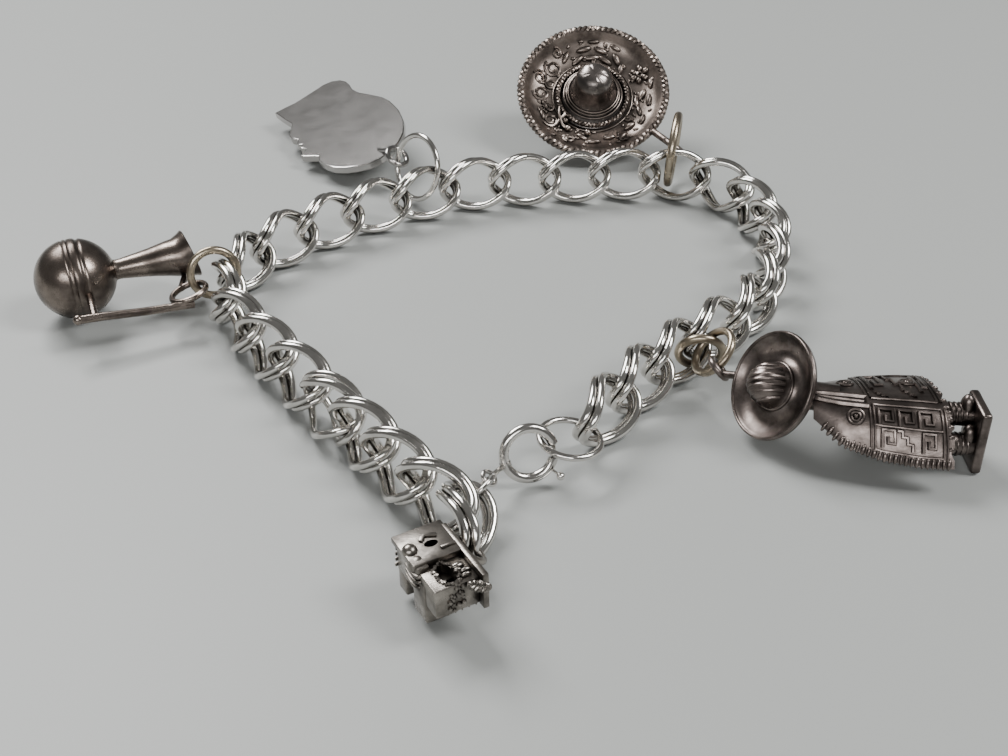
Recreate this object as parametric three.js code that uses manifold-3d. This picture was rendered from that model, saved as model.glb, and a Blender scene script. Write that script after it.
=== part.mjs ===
// A sterling charm bracelet: a double curb chain lying in a loop, closed by a
// spring ring clasp, with five charms on jump rings. Millimetres, +Z up.
import * as THREE from "three";
import Module from "manifold-3d";

const wasm = await Module();
wasm.setup();
const { Manifold, Mesh } = wasm;

// ---------------------------------------------------------------- dimensions
const WIRE = 0.8; // chain wire
const LINK_HALF_LENGTH = 3.88; // of the wire's centre line
const LINK_HALF_WIDTH = 2.6;
const LINK_TWIST = (90 * Math.PI) / 180; // one end of a link against the other
const PAIR_GAP = -0.04; // the two wires of a link touch
// Link to link, counted from the clasp: pushed together at first, then drawn out.
const PITCHES = [
  { upTo: 3, pitch: 5.3 },
  { upTo: 7, pitch: 5.95 },
  { upTo: 13, pitch: 6.12 },
  { upTo: 27, pitch: 5.82 },
];
const LOOSE_LINK = 3; // the link whose two rings have spread
const REST = 0.02; // lowest point of a link over the surface

// The chain's centre line seen from above, from the clasp's tail round to its end ring.
const LOOP = [
  { x: -5.4, y: -35.2, lean: -14 },
  { x: -8.4, y: -31.6, lean: -18 },
  { x: -14.2, y: -23.6, lean: -18 },
  { x: -20.8, y: -14.6, lean: -18 },
  { x: -24.8, y: -8.8, lean: -14 },
  { x: -27.2, y: -3.4, lean: -4 },
  { x: -26.9, y: 2.4, lean: 6 },
  { x: -24.2, y: 7.6, lean: 14 },
  { x: -18.8, y: 13.2, lean: 17 },
  { x: -12.4, y: 18, lean: 17 },
  { x: -3.6, y: 22.4, lean: 17 },
  { x: 6.4, y: 24.2, lean: 17 },
  { x: 14.8, y: 25.2, lean: 17 },
  { x: 20.8, y: 24.7, lean: 15 },
  { x: 25, y: 21.8, lean: 13 },
  { x: 27.3, y: 16.6, lean: 11 },
  { x: 28.2, y: 10.8, lean: 9 },
  { x: 27.6, y: 4.8, lean: 4 },
  { x: 25.8, y: -1.4, lean: -4 },
  { x: 22.6, y: -7, lean: -12 },
  { x: 17.6, y: -11.8, lean: -16 },
  { x: 12.3, y: -17.9, lean: -18 },
  { x: 7.8, y: -24.5, lean: -20 },
];
// Links rolled a little on their neighbours.
const TURNED = [{ link: 8, roll: 8 }, { link: 6, roll: -4 }];
// The last link, which hangs crosswise from the chain and takes the clasp's jump ring.
const END_LINK = { x: -2.82, y: -37.95, lean: 30.6, heading: 91.8 };

const rad = (d) => (d * Math.PI) / 180;
const V = (x, y, z) => new THREE.Vector3(x, y, z);
const UP = V(0, 0, 1);

// ---------------------------------------------------------------- solids
function outward(g) {
  const p = g.attributes.position.array,
    t = g.index.array;
  let v = 0;
  for (let i = 0; i < t.length; i += 3) {
    const [a, b, c] = [t[i] * 3, t[i + 1] * 3, t[i + 2] * 3];
    v +=
      p[a] * (p[b + 1] * p[c + 2] - p[b + 2] * p[c + 1]) +
      p[a + 1] * (p[b + 2] * p[c] - p[b] * p[c + 2]) +
      p[a + 2] * (p[b] * p[c + 1] - p[b + 1] * p[c]);
  }
  if (v < 0) {
    const r = Array.from(t);
    for (let i = 0; i < r.length; i += 3) [r[i + 1], r[i + 2]] = [r[i + 2], r[i + 1]];
    g.setIndex(r);
  }
  return g;
}

// Joins a row of rings of points into a closed skin. A ring of one point is a tip.
function skin(rings, closed = false, arch = false) {
  const pos = [],
    idx = [],
    start = [];
  for (const r of rings) {
    start.push(pos.length / 3);
    for (const p of r) pos.push(p.x, p.y, p.z);
  }
  const n = Math.max(...rings.map((r) => r.length)),
    m = rings.length;
  const at = (i, j) => start[i] + (rings[i].length === 1 ? 0 : j % n);
  for (let i = 0; i < (closed ? m : m - 1); i++) {
    const k = (i + 1) % m;
    for (let j = 0; j < n; j++) {
      const a = at(i, j),
        b = at(i, j + 1),
        c = at(k, j + 1),
        d = at(k, j);
      if (a !== b) idx.push(a, b, c);
      if (c !== d) idx.push(a, c, d);
    }
  }
  if (!closed)
    for (const i of [0, m - 1])
      for (let j = 1; j < rings[i].length - 1 && !arch; j++)
        idx.push(...(i ? [at(i, 0), at(i, j), at(i, j + 1)] : [at(i, 0), at(i, j + 1), at(i, j)]));
  // An arch folds back on itself, so its end is filled from side to side.
  for (const i of arch ? [0, m - 1] : [])
    for (let j = 0; j < n / 2 - 1; j++) {
      const [a, b, c, d] = [j, j + 1, n - 2 - j, n - 1 - j].map((k) => at(i, k));
      idx.push(...(i ? [a, b, c, a, c, d] : [a, c, b, a, d, c]));
    }
  const g = new THREE.BufferGeometry();
  g.setAttribute("position", new THREE.Float32BufferAttribute(pos, 3));
  g.setIndex(idx);
  return outward(g);
}

// A round bar along a line of points: closed makes a ring, otherwise its ends are flat.
function bar(points, radius, sides = 6, closed = false) {
  const m = points.length;
  const tangent = (i) =>
    closed
      ? points[(i + 1) % m].clone().sub(points[(i + m - 1) % m]).normalize()
      : points[Math.min(i + 1, m - 1)].clone().sub(points[Math.max(i - 1, 0)]).normalize();
  let n = tangent(0).cross(Math.abs(tangent(0).z) > 0.9 ? V(1, 0, 0) : UP).normalize();
  const rings = points.map((p, i) => {
    const t = tangent(i);
    n = n.sub(t.clone().multiplyScalar(n.dot(t))).normalize();
    const b = t.clone().cross(n);
    const r = typeof radius === "function" ? radius(i / (m - 1)) : radius;
    return Array.from({ length: sides }, (_, j) => {
      const a = ((j + 0.5) / sides) * 2 * Math.PI;
      return p
        .clone()
        .addScaledVector(n, r * Math.cos(a))
        .addScaledVector(b, r * Math.sin(a));
    });
  });
  return skin(rings, closed);
}

// The points of a circle or an arc about a centre, in the plane square to an axis; angle 0 is at "from".
function arc(centre, axis, from, radius, a0 = 0, a1 = 360, steps = 16) {
  const z = axis.clone().normalize();
  const x = from.clone().addScaledVector(z, -from.dot(z)).normalize();
  const y = z.clone().cross(x);
  const whole = Math.abs(a1 - a0) >= 360;
  return Array.from({ length: whole ? steps : steps + 1 }, (_, i) => {
    const a = rad(a0 + ((a1 - a0) * i) / steps);
    return centre
      .clone()
      .addScaledVector(x, radius * Math.cos(a))
      .addScaledVector(y, radius * Math.sin(a));
  });
}

const ring = (centre, axis, radius, wire, steps = 16, sides = 6, from = V(1, 0.013, 0)) =>
  bar(arc(centre, axis, from, radius, 0, 360, steps), wire, sides, true);

// Turns a profile about an axis. Each row is [distance along, radius, slant], and a slant
// moves that row along the axis on the side named by "lift", for an oblique mouth.
function turned(origin, axis, lift, profile, steps) {
  const z = axis.clone().normalize();
  const x = lift.clone().addScaledVector(z, -lift.dot(z)).normalize();
  const y = z.clone().cross(x);
  return skin(
    profile.map(([h, r, slant = 0]) =>
      r === 0
        ? [origin.clone().addScaledVector(z, h)]
        : Array.from({ length: steps }, (_, j) => {
            const a = (j / steps) * 2 * Math.PI;
            return origin
              .clone()
              .addScaledVector(z, h + slant * Math.cos(a))
              .addScaledVector(x, r * Math.cos(a))
              .addScaledVector(y, r * Math.sin(a));
          }),
    ),
  );
}

// A block between two corners, or a plate of any outline from z0 to z1.
function block(x0, y0, z0, x1, y1, z1) {
  const g = new THREE.BoxGeometry(x1 - x0, y1 - y0, z1 - z0);
  g.translate((x0 + x1) / 2, (y0 + y1) / 2, (z0 + z1) / 2);
  return g;
}
function plate(outline, z0, z1, holes = [], curveSegments = 6) {
  const shape = outline.isShape ? outline : new THREE.Shape(outline.map(([x, y]) => new THREE.Vector2(x, y)));
  for (const h of holes) shape.holes.push(h);
  const g = new THREE.ExtrudeGeometry(shape, { depth: z1 - z0, bevelEnabled: false, curveSegments, steps: 1 });
  return g.translate(0, 0, z0);
}

function solid(g) {
  const plain = g.index ? g.toNonIndexed() : g;
  const seen = new Map(),
    pos = [],
    tri = [];
  const p = plain.attributes.position.array;
  for (let i = 0; i < p.length; i += 3) {
    const key = [p[i], p[i + 1], p[i + 2]].map((v) => Math.round(v * 2000)).join();
    if (!seen.has(key)) {
      seen.set(key, pos.length / 3);
      pos.push(p[i], p[i + 1], p[i + 2]);
    }
    tri.push(seen.get(key));
  }
  const keep = [];
  for (let i = 0; i < tri.length; i += 3)
    if (tri[i] !== tri[i + 1] && tri[i + 1] !== tri[i + 2] && tri[i] !== tri[i + 2])
      keep.push(tri[i], tri[i + 1], tri[i + 2]);
  return new Manifold(new Mesh({ numProp: 3, vertProperties: new Float32Array(pos), triVerts: new Uint32Array(keep) }));
}
function unsolid(m) {
  const k = m.getMesh();
  const g = new THREE.BufferGeometry();
  const pos = [];
  for (let i = 0; i < k.vertProperties.length; i += k.numProp)
    pos.push(k.vertProperties[i], k.vertProperties[i + 1], k.vertProperties[i + 2]);
  g.setAttribute("position", new THREE.Float32BufferAttribute(pos, 3));
  g.setIndex(Array.from(k.triVerts));
  return g;
}
const fused = (...gs) => unsolid(gs.map(solid).reduce((a, b) => a.add(b)).simplify(0.012));
const cut = (g, ...tools) => unsolid(tools.map(solid).reduce((a, b) => a.subtract(b), solid(g)));

// A frame at a point: x along the chain or the piece, z out of its face.
function frame(at, x, z) {
  const X = x.clone().normalize();
  const Y = z.clone().cross(X).normalize();
  return new THREE.Matrix4().makeBasis(X, Y, X.clone().cross(Y)).setPosition(at);
}

// ---------------------------------------------------------------- materials
const SILVER = { color: 0xc9c6bf, metalness: 1, roughness: 0.22 };
const TARNISH = { color: 0x6e625a, metalness: 1, roughness: 0.42 };
const WARM = { color: 0xa8987a, metalness: 1, roughness: 0.35 };

const root = new THREE.Group();
function add(name, geometry, look = SILVER, matrix) {
  if (matrix) geometry.applyMatrix4(matrix);
  const mesh = new THREE.Mesh(geometry, new THREE.MeshStandardMaterial(look));
  mesh.name = name;
  root.add(mesh);
  return mesh;
}

// ---------------------------------------------------------------- chain
// A curb link's wire: an oval twisted about its length. "offset" moves the wire along
// the link's thickness, so the pair is this curve twice.
const TWIST_HAND = -1;
function linkPoint(phi, offset) {
  const tau = (TWIST_HAND * LINK_TWIST * Math.cos(phi)) / 2;
  const c = V(
    LINK_HALF_LENGTH * Math.cos(phi),
    LINK_HALF_WIDTH * Math.sin(phi) * Math.cos(tau),
    LINK_HALF_WIDTH * Math.sin(phi) * Math.sin(tau),
  );
  return c.addScaledVector(V(0, -Math.sin(tau), Math.cos(tau)), offset);
}
// The section of two round wires side by side, as [along the thickness, across].
function pairSection() {
  const r = WIRE / 2,
    h = (WIRE + PAIR_GAP) / 2;
  const lobe = [-75, 0, 75].map((a) => [h + r * Math.cos(rad(a)), r * Math.sin(rad(a))]);
  return [...lobe, [0, r * 0.5], ...lobe.map(([n, c]) => [-n, -c]), [0, -r * 0.5]];
}
function roundSection(sides) {
  return Array.from({ length: sides }, (_, j) => {
    const a = (2 * Math.PI * j) / sides;
    return [(WIRE / 2) * Math.cos(a), (WIRE / 2) * Math.sin(a)];
  });
}
function linkWire(section, offset, steps) {
  return skin(
    Array.from({ length: steps }, (_, i) => {
      const phi = (2 * Math.PI * i) / steps;
      const c = linkPoint(phi, offset);
      const t = linkPoint(phi + 0.01, offset).sub(linkPoint(phi - 0.01, offset)).normalize();
      const tau = (TWIST_HAND * LINK_TWIST * Math.cos(phi)) / 2;
      const out = t.clone().cross(V(0, -Math.sin(tau), Math.cos(tau))).normalize();
      const across = out.clone().cross(t);
      return section.map(([n, o]) => c.clone().addScaledVector(across, n).addScaledVector(out, o));
    }),
    true,
  );
}

const centreLine = new THREE.CatmullRomCurve3(LOOP.map((k) => V(k.x, k.y, 0)), false, "centripetal");
centreLine.arcLengthDivisions = 800;
const LENGTH = centreLine.getLength();
const places = [];
for (let s = 0, i = 0; i <= PITCHES.at(-1).upTo; i++) {
  places.push({ i, s });
  s += (PITCHES.find((z) => i < z.upTo) ?? { pitch: 0 }).pitch;
}
const curvePoint = (s) => centreLine.getPointAt(Math.min(1, Math.max(0, s / LENGTH)));
function leanAt(s) {
  const t = centreLine.getUtoTmapping(Math.min(1, Math.max(0, s / LENGTH))) * (LOOP.length - 1);
  const k = Math.min(LOOP.length - 2, Math.floor(t));
  return rad(LOOP[k].lean + (LOOP[k + 1].lean - LOOP[k].lean) * (t - k));
}
// Stands a link on the surface at its place: x along the chain, y up and leaning outward.
function stand(s, geometry, roll = 0, ahead = 0, lift = 0) {
  const along = curvePoint(s + 1.5).sub(curvePoint(s - 1.5)).normalize();
  return standAt(curvePoint(s), along, leanAt(s) + roll, geometry, ahead, lift);
}
function standAt(here, along, lean, geometry, ahead = 0, lift = 0) {
  const outside = UP.clone().cross(along);
  const tall = UP.clone().multiplyScalar(Math.cos(lean)).addScaledVector(outside, Math.sin(lean));
  const m = new THREE.Matrix4().makeBasis(along, tall, along.clone().cross(tall));
  const g = geometry.clone().applyMatrix4(m);
  g.computeBoundingBox();
  const z = REST + lift - g.boundingBox.min.z;
  const at = here.clone().addScaledVector(along, ahead).setZ(z);
  return { geometry: g.translate(at.x, at.y, at.z), at, along, tall, outside };
}

const pair = linkWire(pairSection(), 0, 16);
const single = linkWire(roundSection(6), 0, 18);
const number = (i) => String(i + 2).padStart(2, "0");
const placed = [];
add("link_01", standAt(V(END_LINK.x, END_LINK.y, 0), V(Math.cos(rad(END_LINK.heading)), Math.sin(rad(END_LINK.heading)), 0), rad(END_LINK.lean), pair).geometry);
for (const { i, s } of places) {
  if (i === LOOSE_LINK) {
    const a = stand(s, single, rad(-21), 0.35);
    const b = stand(s, single, rad(21), -0.45);
    add("link_" + number(i) + "_inner", a.geometry);
    add("link_" + number(i) + "_outer", b.geometry);
    placed.push(a);
  } else {
    const p = stand(s, pair, rad((TURNED.find((t) => t.link === i + 2) ?? { roll: 0 }).roll));
    add("link_" + number(i), p.geometry);
    placed.push(p);
  }
}


// ---------------------------------------------------------------- clasp
// The spring ring leans back. "across" and "rise" span its plane and "face" is its hinge line.
const CLASP = { radius: 2.15, tube: 0.43, bore: 0.27, bolt: 0.19, lean: 72, yaw: -15 };
const CLASP_AT = V(2.06, -29.25, 2.78);
const across = V(Math.cos(rad(CLASP.yaw)), -Math.sin(rad(CLASP.yaw)), 0);
const back = V(Math.sin(rad(CLASP.yaw)), Math.cos(rad(CLASP.yaw)), 0);
const rise = back.clone().multiplyScalar(Math.cos(rad(CLASP.lean))).addScaledVector(UP, Math.sin(rad(CLASP.lean)));
const face = across.clone().cross(rise);
const onClasp = (deg, r = CLASP.radius, out = 0) =>
  CLASP_AT.clone()
    .addScaledVector(across, r * Math.cos(rad(deg)))
    .addScaledVector(rise, r * Math.sin(rad(deg)))
    .addScaledVector(face, out);
const claspArc = (a0, a1, steps, r, wire, sides) =>
  bar(arc(CLASP_AT, face, across, r, a0, a1, steps), wire, sides);

const TAIL = V(-1.2, -32.4, 2.6);
const tailFace = V(0.55, -0.31, 0.775).normalize();
const tailRoot = onClasp(197);
const tailWay = TAIL.clone().sub(tailRoot).normalize();
const STEM = { at: -42, r: 0.62, out: 0.78, length: 1.42 };
const stemWay = (deg) =>
  across.clone().multiplyScalar(STEM.r * Math.cos(rad(deg)))
    .addScaledVector(rise, STEM.r * Math.sin(rad(deg)))
    .addScaledVector(face, STEM.out).normalize();
// The slot the lever's stem slides along, cut from inside the tube out through its wall.
const slot = skin(
  Array.from({ length: 6 }, (_, i) => {
    const deg = -38 - (i * 49) / 5,
      c = onClasp(deg),
      w = stemWay(deg);
    const t = face.clone().cross(c.clone().sub(CLASP_AT)).normalize();
    const v = w.clone().cross(t).normalize();
    return [[0, -0.17], [0.8, -0.17], [0.8, 0.17], [0, 0.17]].map(([h, k]) =>
      c.clone().addScaledVector(w, h).addScaledVector(v, k));
  }),
);
add(
  "clasp_ring",
  cut(
    fused(
      claspArc(14, 340, 26, CLASP.radius, CLASP.tube, 8),
      bar([tailRoot, TAIL.clone().addScaledVector(tailWay, -0.6)], (t) => 0.34 - 0.12 * t, 8),
      ring(TAIL, tailFace, 0.62, 0.2, 12, 6),
    ),
    claspArc(-10, -112, 9, CLASP.radius, CLASP.bore, 8),
    slot,
  ),
);
const knob = onClasp(STEM.at).addScaledVector(stemWay(STEM.at), STEM.length);
const knobBall = new THREE.IcosahedronGeometry(0.36, 1);
knobBall.translate(knob.x, knob.y, knob.z);
add(
  "clasp_lever",
  fused(
    claspArc(12.5, -62, 10, CLASP.radius, CLASP.bolt, 6),
    bar([onClasp(STEM.at), knob], 0.12, 6),
    knobBall,
  ),
);
add("clasp_jump_ring", ring(V(-1.92, -33.74, 2.57), V(0.68, -0.36, -0.64), 1.52, 0.21, 16, 6));
add("end_ring", ring(V(5.5, -27.52, 3.01), V(0.12, -0.03, 0.99), 2.61, 0.31, 20, 6));

// ---------------------------------------------------------------- horn
const HORN = V(-42.35, -1.73, 4.05);
const hornWay = V(0.926, 0.375, 0.04).normalize();
const hornBail = V(-30.95, -3.2, 3.3);
add(
  "horn_charm",
  fused(
    turned(HORN, hornWay, V(0, 0.39, 0.92), [
      [-4, 0], [-3.7, 1.52], [-2.83, 2.83], [-1.53, 3.7], [0, 4], [1.53, 3.7], [2.83, 2.83], [3.6, 1.8],
      [4.1, 1.1], [5.4, 1.15], [8, 1.6], [10.2, 2.1, 0.3], [11.1, 2.3, 0.5], [11.45, 2.45, 0.55],
      [11.45, 2.15, 0.55], [10, 1.75, 0.3], [8, 1.2], [6, 0.75], [5.6, 0],
    ], 18),
    bar([V(-40.2, -9.2, 3.66), V(-34.5, -6.6, 3.1), V(-30.2, -4.7, 2.85)], 0.42, 8),
    bar([V(-32, -1.9, 3), V(-32.2, 1.2, 2.9)], 0.36, 6),
    bar([V(-38.8, -8.5, 3.5), V(-40.4, -4.4, 3.85)], 0.4, 6),
    ring(hornBail, V(-0.28, 0, 0.96), 1.75, 0.3, 16, 6),
  ),
  TARNISH,
);
add("horn_jump_ring", ring(V(-28.64, -1.52, 4.56), V(-0.35, 0.92, -0.2), 2.3, 0.42, 16, 6), WARM);

// ---------------------------------------------------------------- silhouette
// A flat head in profile. Rows run from the neck over the hair to the brow and down the
// face; x is up the head from the chin, y is toward the back of the head.
const HEAD = [
  { x: -1.2, y: 1.4 }, { x: -6.1, y: 1.3 }, { x: -6, y: 4.3 }, { x: -6.6, y: 7 },
  { x: -6.7, y: 9.7 }, { x: -5.9, y: 11.1 }, { x: -3.6, y: 11.3 }, { x: -0.4, y: 11 },
  { x: 3.6, y: 12.3 }, { x: 7, y: 12.2 }, { x: 10.2, y: 11.5 }, { x: 12.8, y: 10.2 },
  { x: 14.8, y: 8.6 }, { x: 15.8, y: 7.4 }, { x: 16.6, y: 5.9 }, { x: 16.5, y: 3.9 },
  { x: 15.4, y: 1.8 }, { x: 14.2, y: 0.2 }, { x: 12, y: -0.5 }, { x: 10.2, y: -0.6 },
  { x: 9.4, y: -0.1 }, { x: 7.4, y: -1.5 }, { x: 6.7, y: -1.3 }, { x: 6.4, y: -0.4 },
  { x: 5.4, y: -0.7 }, { x: 4.8, y: -0.2 }, { x: 4, y: -0.5 }, { x: 3.3, y: 0.1 },
  { x: 2.2, y: -0.35 }, { x: 1, y: -0.1 }, { x: 0.2, y: 0.5 },
];
const PLATE = 1;
const headFrame = frame(V(-27.3, 40.1, 2), V(0.54, -0.84, 0.024), V(-0.23, -0.12, 0.966));
const headBail = V(-12.4, 26.5, 4.6);
add(
  "silhouette_charm",
  fused(
    plate(HEAD.map((k) => [k.x, k.y]), -PLATE, 0).applyMatrix4(headFrame),
    ring(headBail, V(0.5, -0.3, 0.8), 1.25, 0.34, 12, 6),
    bar([V(-15.2, 31.2, 3.25), V(-13.6, 28.9, 4.2), V(-12.66, 27.6, 5.1)], 0.4, 6),
  ),
);
add("silhouette_jump_ring", ring(V(-9.91, 23.61, 4.56), V(0.73, 0.63, -0.26), 3.6, 0.34, 18, 6));

// ---------------------------------------------------------------- sombrero
const TILT = 36;
const hatAxis = V(0, -Math.sin(rad(TILT)), Math.cos(rad(TILT)));
const HAT = V(11.05, 41.2, 6.8);
const hatRise = V(0, Math.cos(rad(TILT)), Math.sin(rad(TILT)));
const onHat = (deg, r, h) =>
  HAT.clone().add(V(r * Math.cos(rad(deg)), 0, 0)).addScaledVector(hatRise, r * Math.sin(rad(deg))).addScaledVector(hatAxis, h);
const hatBail = V(20.4, 31.6, 3.6);
add(
  "sombrero_charm",
  fused(
    turned(HAT, hatAxis, hatRise, [
      [4.2, 0], [4.1, 1.1], [3.6, 1.95], [2.4, 2.45], [0.7, 2.95], [-0.9, 3.8], [-1.3, 4.7], [-1.15, 6], [-0.55, 7.5],
      [0.15, 8.4], [0.55, 8.65], [0.6, 9.1], [0.3, 9.45], [-0.2, 9.45], [-0.45, 9], [-0.6, 8.5], [-1.2, 7.5],
      [-1.9, 6], [-2.1, 4.7], [-1.6, 3.4], [0.4, 2.35], [2.3, 1.75], [3.2, 1.1], [3.4, 0],
    ], 22),
    ring(hatBail, V(0.6, 0.2, 0.75), 1.3, 0.38, 12, 6),
    bar([onHat(-38, 8.9, 0), onHat(-38, 8.9, 0).lerp(hatBail, 0.78)], 0.45, 6),
  ),
  TARNISH,
);
add("sombrero_jump_ring", ring(V(19.72, 27.71, 4.97), V(0.98, -0.2, -0.07), 3.9, 0.5, 18, 6), WARM);

// ---------------------------------------------------------------- lying figure
// The blanket is an arch over the back. Each row is a place along the body with its
// far edge, ridge and near edge.
const BLANKET = [
  { x: 25.8, far: -22.2, farZ: 4.4, ridge: -25, top: 5.8, near: -26.6, nearZ: 4.4 },
  { x: 28, far: -20.4, farZ: 4, ridge: -25.8, top: 6, near: -28.8, nearZ: 3.2 },
  { x: 31, far: -19.4, farZ: 3.8, ridge: -26.5, top: 6.1, near: -30, nearZ: 2.6 },
  { x: 34, far: -19.1, farZ: 3.8, ridge: -26.9, top: 6.1, near: -30.7, nearZ: 2.4 },
  { x: 36.7, far: -19.2, farZ: 3.8, ridge: -27.2, top: 6, near: -31, nearZ: 2.4 },
];
const CLOTH = 0.75;
function archRow(k) {
  const path = [
    V(k.x, k.far, k.farZ), V(k.x, (2 * k.far + k.ridge) / 3, k.farZ + 0.72 * (k.top - k.farZ)),
    V(k.x, k.ridge, k.top), V(k.x, (2 * k.near + k.ridge) / 3, k.nearZ + 0.72 * (k.top - k.nearZ)), V(k.x, k.near, k.nearZ),
  ];
  const inside = path.map((p, i) => V(p.x, p.y + [-0.75, -0.35, 0, 0.35, 0.75][i] * CLOTH, p.z - [0, 0.9, 1, 0.9, 0][i] * CLOTH));
  return [...path, ...inside.reverse()];
}
const MAN_HAT = V(23.3, -22.8, 5.1);
const manHatWay = V(-0.81, -0.35, 0.47).normalize();
const manBail = V(19.3, -16.8, 3.1);
add(
  "figure_charm",
  fused(
    skin(BLANKET.map(archRow), false, true),
    turned(MAN_HAT, manHatWay, UP, [
      [3, 0], [2.8, 0.9], [2.2, 1.6], [1, 1.9], [0.05, 2.2], [-0.25, 3.1], [0.3, 4.2], [0.75, 4.6],
      [0.45, 4.8], [-0.15, 4.4], [-0.8, 3.2], [-0.9, 2], [-0.9, 0],
    ], 15),
    bar([V(23.3, -22.93, 4.95), V(25.1, -23.67, 4.93), V(28.2, -24.57, 5.07)], 1.47, 8),
    bar([V(27.2, -24.83, 4.93), V(35, -25.6, 4.5), V(39.37, -25.9, 4.3)], 1.1, 8),
    bar([V(30, -27, 4.2), V(35, -27.6, 3), V(39.33, -27.4, 2.3)], 1, 8),
    block(39.1, -28.6, 0.02, 40, -24.4, 6),
    ring(manBail, V(0.75, 0.1, 0.65), 1.05, 0.34, 12, 6),
    bar([manBail.clone().add(V(0.3, -0.95, 0)), V(21.3, -19.2, 3.8)], 0.36, 6),
  ),
  TARNISH,
);
add("figure_jump_ring_a", ring(V(19.07, -14.67, 3.54), V(-0.74, -0.12, 0.66), 2.19, 0.4, 16, 6), WARM);
add("figure_jump_ring_b", ring(V(18.19, -12.86, 2.39), V(-0.04, -0.94, -0.35), 2.02, 0.42, 16, 6), WARM);

// ---------------------------------------------------------------- little house
const houseFrame = frame(V(-8.3, -43.2, 5.5), V(0.87, 0.49, 0.02), V(0.05, 0.03, 1));
const h = (g) => g.applyMatrix4(houseFrame);
const dome = new THREE.IcosahedronGeometry(0.68, 1);
dome.translate(0.5, -2.1, 0.05);
add(
  "house_charm",
  fused(
    h(block(0, -3.9, -0.65, 4.15, 0, 0)),
    h(block(0.25, -6.7, -3.05, 3.9, -0.2, -0.55)),
    h(block(3.8, -7.2, -3.25, 4.35, -0.55, 0)),
    h(block(0.2, -5.05, -4.9, 3, -2.9, -1.25)),
    h(block(0.25, -1.6, -4.9, 3.9, -0.2, -2.7)),
    h(dome),
    h(block(0.1, -4.15, -2.35, 1.15, -2.35, -0.2)),
    h(bar([V(3.05, -6.3, -1.1), V(3.05, -7.4, -0.35)], 0.38, 6)),
    h(ring(V(3.05, -8.05, 0), V(0.3, 0.3, 0.9), 0.7, 0.26, 12, 6)),
    ring(V(-2.66, -41.77, 3.05), V(-0.6, -0.31, -0.74), 1.38, 0.3, 14, 6),
    bar([V(-3.3, -43, 3.9), V(-4.6, -43.4, 4.4)], 0.38, 6),
  ),
  TARNISH,
);

// The origin is at the middle of the whole piece, on the surface it lies on.
const extent = new THREE.Box3().setFromObject(root);
const middle = extent.getCenter(new THREE.Vector3()).setZ(extent.min.z);
for (const mesh of root.children) mesh.geometry.translate(-middle.x, -middle.y, -middle.z);

export default root;
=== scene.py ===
import bpy
import bmesh
import math
import random
from mathutils import Matrix, Vector


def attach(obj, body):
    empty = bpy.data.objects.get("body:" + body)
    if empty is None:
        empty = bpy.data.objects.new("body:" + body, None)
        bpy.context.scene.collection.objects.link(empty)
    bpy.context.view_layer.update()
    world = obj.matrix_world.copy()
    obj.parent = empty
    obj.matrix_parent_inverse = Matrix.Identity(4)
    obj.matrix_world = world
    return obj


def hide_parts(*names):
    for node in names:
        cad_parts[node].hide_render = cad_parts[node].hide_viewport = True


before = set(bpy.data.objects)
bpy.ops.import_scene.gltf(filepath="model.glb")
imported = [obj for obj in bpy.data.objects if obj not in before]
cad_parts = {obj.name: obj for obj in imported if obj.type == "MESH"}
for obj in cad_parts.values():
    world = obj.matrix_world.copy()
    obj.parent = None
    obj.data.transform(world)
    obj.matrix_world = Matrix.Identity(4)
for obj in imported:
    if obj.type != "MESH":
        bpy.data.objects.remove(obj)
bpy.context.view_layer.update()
random.seed(11)

MM = 0.001
# Where the bracelet's drawing sits in the frame.
SHIFT = Vector((3.175, -0.7216, -0.02))


def at(x, y, z):
    return (Vector((x, y, z)) + SHIFT) * MM


# ------------------------------------------------------------ tools
def active(obj):
    bpy.ops.object.select_all(action="DESELECT")
    obj.select_set(True)
    bpy.context.view_layer.objects.active = obj


def edit(obj):
    active(obj)
    bpy.ops.object.mode_set(mode="EDIT")
    bpy.ops.mesh.select_mode(type="VERT")
    bpy.ops.mesh.select_all(action="DESELECT")


def done():
    bpy.ops.object.mode_set(mode="OBJECT")


def pick(obj, test, faces=False):
    """Selects the vertices or faces of a mesh in edit mode that stand in the right place."""
    mesh = bmesh.from_edit_mesh(obj.data)
    if faces:
        for f in mesh.faces:
            f.select_set(bool(test(f.calc_center_median(), f.normal)))
    else:
        for v in mesh.verts:
            v.select_set(bool(test(v.co)))
        mesh.select_flush_mode()
    bmesh.update_edit_mesh(obj.data)


def apply(obj, kind, **settings):
    active(obj)
    m = obj.modifiers.new(kind, kind)
    for k, v in settings.items():
        setattr(m, k, v)
    bpy.ops.object.modifier_apply(modifier=m.name)
    return obj


def round_off(obj, angle=40):
    active(obj)
    bpy.ops.object.shade_smooth_by_angle(angle=math.radians(angle))
    return obj


def outward(obj):
    edit(obj)
    bpy.ops.mesh.select_all(action="SELECT")
    bpy.ops.mesh.remove_doubles(threshold=1e-6)
    bpy.ops.mesh.normals_make_consistent(inside=False)
    done()
    return obj


def seat(obj, matrix=None):
    """Puts a piece in its place and leaves the place in its mesh."""
    if matrix is not None:
        obj.matrix_world = matrix @ obj.matrix_world
    active(obj)
    bpy.ops.object.transform_apply(location=True, rotation=True, scale=True)
    return obj


def join(name, *objs):
    bpy.ops.object.select_all(action="DESELECT")
    for o in objs:
        o.select_set(True)
    bpy.context.view_layer.objects.active = objs[0]
    if len(objs) > 1:
        bpy.ops.object.join()
    objs[0].name = name
    return objs[0]


def copy_of(obj, name):
    active(obj)
    bpy.ops.object.duplicate(linked=False)
    new = bpy.context.object
    new.name = name
    return new


def frame_of(place, along, out):
    """A turned frame: x along, z out."""
    x = along.normalized()
    y = out.cross(x).normalized()
    z = x.cross(y)
    m = Matrix((x, y, z)).transposed().to_4x4()
    m.translation = place
    return m


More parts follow.
